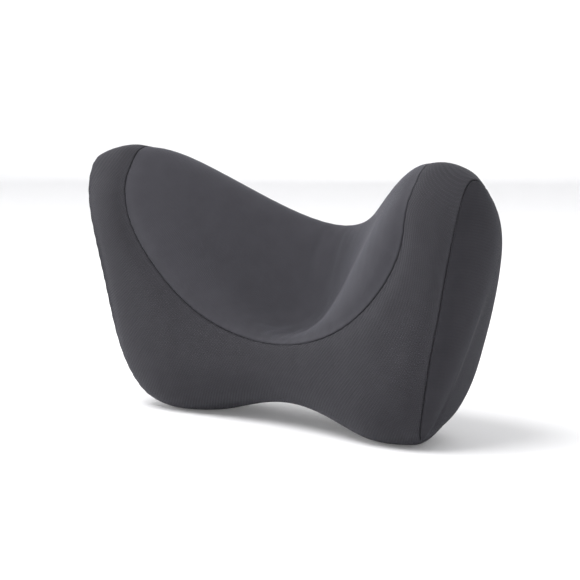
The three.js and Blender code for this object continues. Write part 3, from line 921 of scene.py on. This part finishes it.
def tab_path(low, high):
    """The ring's tab: along its upper layer, round the ring's bar and back along its lower one."""
    bar, end = TAB_X["bar"], TAB_X["end"]
    start, stop = TAB_X["high"]
    upper = smoothed([(end, OVER_OUT), (stop, OVER_OUT), (start, high), (bar, high)])
    start, stop = TAB_X["low"]
    lower = smoothed([(bar, low), (start, low), (stop, SEWN_OUT), (end, SEWN_OUT)])
    return [*upper[:-1], *arc(bar, math.pi / 2, 1.5 * math.pi), *lower[1:]]


def woven_end(out):
    """The strap's returning end: under a rim of the adjuster, over its bar and under the other."""
    x, under, over = ADJUSTER_X, WEAVE["under"], WEAVE["over"]
    reach, bar, rim = WEAVE["reach"], WEAVE["bar"], WEAVE["rim"]
    rising = [(RETURN_BLEND[0], out), (x + reach + 6, out), (x + reach, under), (x + rim, under)]
    across = [(x + bar, over), (x - bar, over)]
    return smoothed(rising + across + [(x - rim, under), (x - WEAVE["tail"], under)])


def smoothed(path, step=0.4, passes=12):
    """A path with its corners rounded, whose ends stay."""
    path = evenly(path, step)
    for _ in range(passes):
        path[1:-1] = (path[:-2] + 2 * path[1:-1] + path[2:]) / 4
    return path


# ==== materials ====


class Finish:
    """A new material, with its nodes made by calls. Lengths in its patterns are millimetres."""

    def __init__(self, name, color, roughness, **settings):
        self.material = bpy.data.materials.new(name)
        self.material.use_nodes = True
        self.nodes = self.material.node_tree.nodes
        self.shader = self.nodes["Principled BSDF"]
        self.color = color
        self.shader.inputs["Base Color"].default_value = (*color, 1)
        self.shader.inputs["Roughness"].default_value = roughness
        for key, value in settings.items():
            self.shader.inputs[key.replace("_", " ")].default_value = value

    def node(self, kind, output=0, inputs=(), **settings):
        """A new node's output. Its inputs are numbers, or outputs that are linked to it."""
        node = self.nodes.new("ShaderNode" + kind)
        for key, value in settings.items():
            setattr(node, key, value)
        for key, value in dict(inputs).items():
            if isinstance(value, bpy.types.NodeSocket):
                self.material.node_tree.links.new(value, node.inputs[key])
            else:
                node.inputs[key].default_value = value
        return node.outputs[output]

    def math(self, operation, *values):
        return self.node("Math", inputs=enumerate(values), operation=operation)

    def total(self, first, *others):
        """The first amount and, as pairs (amount, share), shares of others."""
        for amount, share in others:
            first = self.math("ADD", first, self.math("MULTIPLY", amount, share))
        return first

    def link(self, value, name):
        self.material.node_tree.links.new(value, self.shader.inputs[name])

    def weave(self, degrees=0.0):
        """The place on the cloth, from its UV map, turned by an angle."""
        flat = self.node("UVMap", uv_map="Weave")
        turn = (0, 0, math.radians(degrees))
        return self.node("Mapping", inputs={"Vector": flat, "Rotation": turn})

    def place(self):
        """The place on the object, in millimetres."""
        local = self.node("TexCoord", 3)
        return self.node("Mapping", inputs={"Vector": local, "Scale": (1 / MM,) * 3})

    def waves(self, vector, period, direction="X", wobble=0.0):
        """Parallel ridges from 0 to 1."""
        inputs = {"Vector": vector, "Scale": math.pi / 10 / period, "Distortion": wobble}
        return self.node("TexWave", 1, inputs, bands_direction=direction)

    def noise(self, vector, size, detail=2.0):
        """Soft blotches of about a size, from 0 to 1."""
        inputs = {"Vector": vector, "Scale": 1 / size, "Detail": detail}
        return self.node("TexNoise", 0, inputs)

    def tint(self, amount, low, high):
        """Colours the surface with its own colour, scaled from low to high by an amount."""
        shade = self.node("MapRange", 0, {"Value": amount, "To Min": low, "To Max": high})
        scale = self.node("CombineXYZ", inputs={"X": shade, "Y": shade, "Z": shade})
        color = self.node("VectorMath", inputs={0: scale, 1: self.color}, operation="MULTIPLY")
        self.link(color, "Base Color")

    def bump(self, height, distance):
        """The finished material, with a relief that is a distance high."""
        inputs = {"Height": height, "Distance": distance * MM, "Strength": 1.0}
        self.link(self.node("Bump", inputs=inputs), "Normal")
        return self.material

    def seam_shade_dust_highlight_and_wear(self, amount):
        """The amount, with painted shade and dust darkening the seams, and a painted highlight and wear
        lightening the shoulders beside them.
        """
        distance = self.node("Attribute", 2, attribute_name="SeamDistance")
        # painted shade with dust in the seams, rising to a painted highlight with wear on the
        # shoulders, which fades further out
        for start, end, low, high in ((0.2, 1.6, 0.5, 1.1), (1.6, 7.0, 1.0, 0.91)):
            inputs = {"Value": distance, "From Min": start, "From Max": end}
            inputs |= {"To Min": low, "To Max": high}
            share = self.node("MapRange", inputs=inputs, interpolation_type="SMOOTHSTEP")
            amount = self.math("MULTIPLY", amount, share)
        return amount


CLOTH = {"Sheen_Roughness": 0.42, "Sheen_Tint": (0.86, 0.88, 1.0, 1), "Specular_IOR_Level": 0.15}


def knit(name, color, wale, course, depth, slant, sheen):
    """A knitted cloth: columns of stitches, mottled like melange yarn, with painted shade and dust in
    its seams and a painted highlight and wear beside them.
    """
    cloth = Finish(name, color, 0.9, Sheen_Weight=sheen, **CLOTH)
    flat = cloth.weave(slant)
    columns = cloth.waves(flat, wale, "X", 0.25)
    loops = cloth.waves(flat, course, "Y", 0.6)
    fibres = cloth.noise(flat, 0.35, 3)
    blotches = cloth.noise(flat, 14, 3)
    stitch = cloth.math("MULTIPLY", columns, loops)
    mottle = cloth.total(cloth.math("MULTIPLY", fibres, 0.5), (blotches, 0.32), (stitch, 0.3))
    # the mottle gets the seams' painted shade and dust and the shoulders' painted highlight and wear
    cloth.tint(cloth.seam_shade_dust_highlight_and_wear(mottle), 0.62, 1.38)
    return cloth.bump(cloth.total(stitch, (fibres, 0.5)), depth)


def thread(name, color):
    yarn = Finish(name, color, 0.6, Sheen_Weight=0.2)
    turned = yarn.node("Mapping", inputs={"Vector": yarn.place(), "Rotation": (0.5, 0.6, 0.7)})
    twist = yarn.waves(turned, 0.35)
    yarn.tint(twist, 0.8, 1.2)
    return yarn.bump(twist, 0.05)


def ribbed(name, color, pick, depth):
    """A woven band: fine picks across it, over the ribs that the mesh has."""
    band = Finish(name, color, 0.75, Specular_IOR_Level=0.25)
    flat = band.weave()
    picks = band.waves(flat, pick, "X", 0.4)
    fibres = band.noise(flat, 0.3, 2)
    height = band.total(picks, (fibres, 0.4))
    band.tint(height, 0.75, 1.25)
    return band.bump(height, depth)


def moulded(name, color, roughness, grain, depth, metallic=0.0):
    """Plastic or coated metal with a faint grain and uneven gloss."""
    part = Finish(name, color, roughness, Metallic=metallic)
    place = part.place()
    fine = part.noise(place, grain, 3)
    broad = part.noise(place, 9, 2)
    inputs = {"Value": broad, "To Min": roughness - 0.08, "To Max": roughness + 0.08}
    part.link(part.node("MapRange", inputs=inputs), "Roughness")
    part.tint(broad, 0.9, 1.1)
    return part.bump(fine, depth)


def foam_finish(name, color):
    """Open-cell foam."""
    foam = Finish(name, color, 0.95, Specular_IOR_Level=0.15)
    place = foam.place()
    cells = foam.node("TexVoronoi", 0, {"Vector": place, "Scale": 0.9})
    foam.tint(foam.total(cells, (foam.noise(place, 20), 0.3)), 0.75, 1.1)
    return foam.bump(cells, 0.4)


def make_materials():
    """Materials by their slot, and the threads."""
    looks = {
        "cradle_fabric": (knit, (0.044, 0.043, 0.05), 0.9, 0.75, 0.1, 0, 0.15),
        "band_fabric": (knit, (0.034, 0.033, 0.038), 1.9, 1.4, 0.24, 38, 0.08),
        "gusset_fabric": (knit, (0.031, 0.03, 0.035), 0.9, 0.75, 0.1, 90, 0.07),
        "back_fabric": (knit, (0.027, 0.026, 0.03), 1.2, 0.9, 0.15, 45, 0.07),
        "foam": (foam_finish, (0.8, 0.75, 0.62)),
        "liner_cloth": (knit, (0.03, 0.03, 0.034), 0.8, 0.7, 0.06, 0, 0.07),
        "zipper_tape": (ribbed, (0.026, 0.026, 0.03), 0.55, 0.06),
        "zipper_coil": (moulded, (0.03, 0.03, 0.036), 0.32, 0.5, 0.01),
        "zipper_metal": (moulded, (0.12, 0.12, 0.13), 0.36, 0.25, 0.01, 1.0),
        "strap_elastic": (ribbed, (0.024, 0.024, 0.027), 0.8, 0.1),
        "buckle_plastic": (moulded, (0.02, 0.02, 0.022), 0.5, 0.35, 0.03),
        "seam_thread": (thread, (0.05, 0.048, 0.058)),
        "strap_thread": (thread, (0.06, 0.06, 0.066)),
    }
    return {name: make(name, *values) for name, (make, *values) in looks.items()}


def paint(obj, material):
    obj.data.materials.clear()
    obj.data.materials.append(material)


def finish_piece(obj, material, body="cushion", replaced=()):
    """Gives a new piece its slot and material, the body it rides on and the CAD nodes it shows."""
    paint(obj, material)
    if body:
        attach(obj, body)
    if replaced:
        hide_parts(*replaced)
    return obj


def round_hardware(obj, material):
    """A CAD part that stays, in its material and with its edges rounded."""
    paint(obj, material)
    weld = obj.modifiers.new("weld", "WELD")
    weld.merge_threshold = EDGE["weld"] * MM
    bevel = obj.modifiers.new("bevel", "BEVEL")
    bevel.width = EDGE["radius"] * MM
    bevel.segments = 3
    bevel.limit_method = "ANGLE"
    bevel.angle_limit = math.radians(EDGE["degrees"])
    bevel.harden_normals = True


# ==== the whole headrest ====


def build_cushion(body, finishes):
    """The cover, foam and liner. Returns the cover's panels."""
    seams = make_seams()
    cut = CutSkin(smooth_mesh(body, swollen(body, seams)), body, seams)
    cover = make_cover(cut)
    for node, obj in cover.items():
        slot = node.split("_")[0] + "_fabric"
        finish_piece(obj, finishes[slot], replaced=(node,))
    foam = core_object("foam_block", body, FOAM_DEPTH)
    finish_piece(foam, finishes["foam"], replaced=("foam_core",))
    liner = make_liner(body)
    finish_piece(liner, finishes["liner_cloth"], replaced=("foam_liner",))
    return cover


def build_zipper(cover, finishes):
    for name, side in (("_upper", 1), ("_lower", -1)):
        for kind, make in (("tape", make_tape), ("coil", make_coil)):
            slot = "zipper_" + kind
            finish_piece(make(kind + name, side), finishes[slot], replaced=(slot + name,))
    row = make_topstitch([cover["band_panel"], cover["back_panel"]])
    finish_piece(row, finishes["seam_thread"])
    for name in ("zipper_slider", "zipper_pull", "zipper_stop_left", "zipper_stop_right"):
        round_hardware(bpy.data.objects[name], finishes["zipper_metal"])


def build_strap(finishes):
    left, span, at_ring, end, tab = strap_pieces()
    for obj, body in ((left, None), (span, "strap"), (at_ring, None), (end, None)):
        finish_piece(obj, finishes["strap_elastic"], body, ["strap_webbing"])
    finish_piece(tab, finishes["strap_elastic"], replaced=("ring_tab",))
    for obj, near, far, ends in (
        (left, "cushion", "strap", LEFT_BLEND),
        (at_ring, "cushion", "strap", RIGHT_BLEND),
        (end, "strap", "adjuster", RETURN_BLEND),
    ):
        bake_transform(obj)
    plastic = finishes["buckle_plastic"]
    finish_piece(make_ring(), plastic, replaced=("strap_ring",))
    finish_piece(make_adjuster(), plastic, "adjuster", ["strap_adjuster"])
    build_strap_stitching(finishes)


def build_strap_stitching(finishes):
    """A crossed box on the strap's sewn end, a box on the ring's tab and a bar on the free end."""
    face = STRAP["thick"] / 2
    half = STRAP["width"] / 2 - BOX_MARGIN
    low, high = STRAP_Z - half, STRAP_Z + half

    def square(x0, x1):
        return [(x0, low), (x1, low), (x1, high), (x0, high), (x0, low)]

    across = [(SEWN_BOX[1], high), (SEWN_BOX[1], low), (SEWN_BOX[0], high)]
    start, stop = (ADJUSTER_X - WEAVE["tail"] + off for off in HEM)
    hem = [(start, low), (start, high), (stop, high), (stop, low)]
    for name, line, out, body in (
        ("strap_sewn_cross", square(*SEWN_BOX) + across, SEWN_OUT, "cushion"),
        ("ring_tab_sewn_box", square(*TAB_BOX), OVER_OUT, "cushion"),
        ("strap_end_hem", hem, WEAVE["under"], "adjuster"),
    ):
        finish_piece(sewn(name, line, out + face), finishes["strap_thread"], body)


# ==== floor, lights and camera ====


def make_floor():
    """A wide round floor that curves up into a wall all round."""
    rise = np.linspace(0, math.pi / 2, CURVE_STEPS + 1)
    radius = np.append(WALL_RADIUS + CURVE * np.sin(rise), WALL_RADIUS + CURVE)[:, None]
    height = FLOOR_Z + np.append(CURVE * (1 - np.cos(rise)), WALL_HEIGHT)[:, None]
    turn = -np.linspace(0, 2 * math.pi, FLOOR_TURNS, endpoint=False)
    rings = np.stack(np.broadcast_arrays(radius * np.cos(turn), radius * np.sin(turn), height), -1)
    middle = end_faces(len(rings), FLOOR_TURNS)[0]
    floor = mesh_object("floor", rings.reshape(-1, 3), ring_faces(len(rings), FLOOR_TURNS) + [middle])
    glow = {"Emission_Color": (1, 1, 1, 1), "Emission_Strength": FLOOR_GLOW}
    white = Finish("floor_paint", (0.86, 0.86, 0.87), 0.85, Specular_IOR_Level=0.2, **glow)
    paint(floor, white.material)


def aimed(name, data, azimuth, elevation, distance, roll=0, outward=False):
    """A light or camera that faces the cushion, or the wall. Azimuth 0 is in front, 90 at +X."""
    obj = add_object(name, data)
    a, e = math.radians(azimuth), math.radians(elevation)
    away = Vector((math.sin(a) * math.cos(e), -math.cos(a) * math.cos(e), math.sin(e)))
    obj.location = (Vector(LOOK_AT) + away * distance) * MM
    obj.rotation_mode = "QUATERNION"
    facing = away.to_track_quat("-Z" if outward else "Z", "Y")
    obj.rotation_quaternion = facing @ Quaternion((0, 0, 1), math.radians(roll))
    return obj


def softbox(name, size, power, *where, **settings):
    """A round area light, which is put where aimed() says."""
    light = bpy.data.lights.new(name, "AREA")
    light.shape = "DISK"
    light.size = size
    light.energy = power
    aimed(name, light, *where, **settings)


def make_lights():
    softbox("key", 1.1, 26, -8, 60, 1600)
    softbox("left_fill", 0.5, 13, -78, 10, 1800)
    softbox("rim", 1.1, 6, 180, 45, 1600)
    softbox("backdrop", 1.6, 30, AZIMUTH + 180, 35, 1700, outward=True)
    world = bpy.data.worlds.new("studio")
    world.use_nodes = True
    background = world.node_tree.nodes["Background"].inputs
    background["Color"].default_value = (1, 1, 1, 1)
    background["Strength"].default_value = 0.5
    bpy.context.scene.world = world


def make_camera():
    """The photograph's view: from the front, a little above and to the cushion's right."""
    data = bpy.data.cameras.new("camera")
    data.lens = LENS
    data.shift_x, data.shift_y = SHIFT
    data.clip_start, data.clip_end = 0.05, 50
    bpy.context.scene.camera = aimed("camera", data, AZIMUTH, ELEVATION, DISTANCE, CAMERA_ROLL)


def main():
    body = Skin()
    finishes = make_materials()
    cover = build_cushion(body, finishes)
    build_zipper(cover, finishes)
    build_strap(finishes)
    make_floor()
    make_lights()
    make_camera()
    bpy.context.scene.view_settings.view_transform = "Standard"


main()
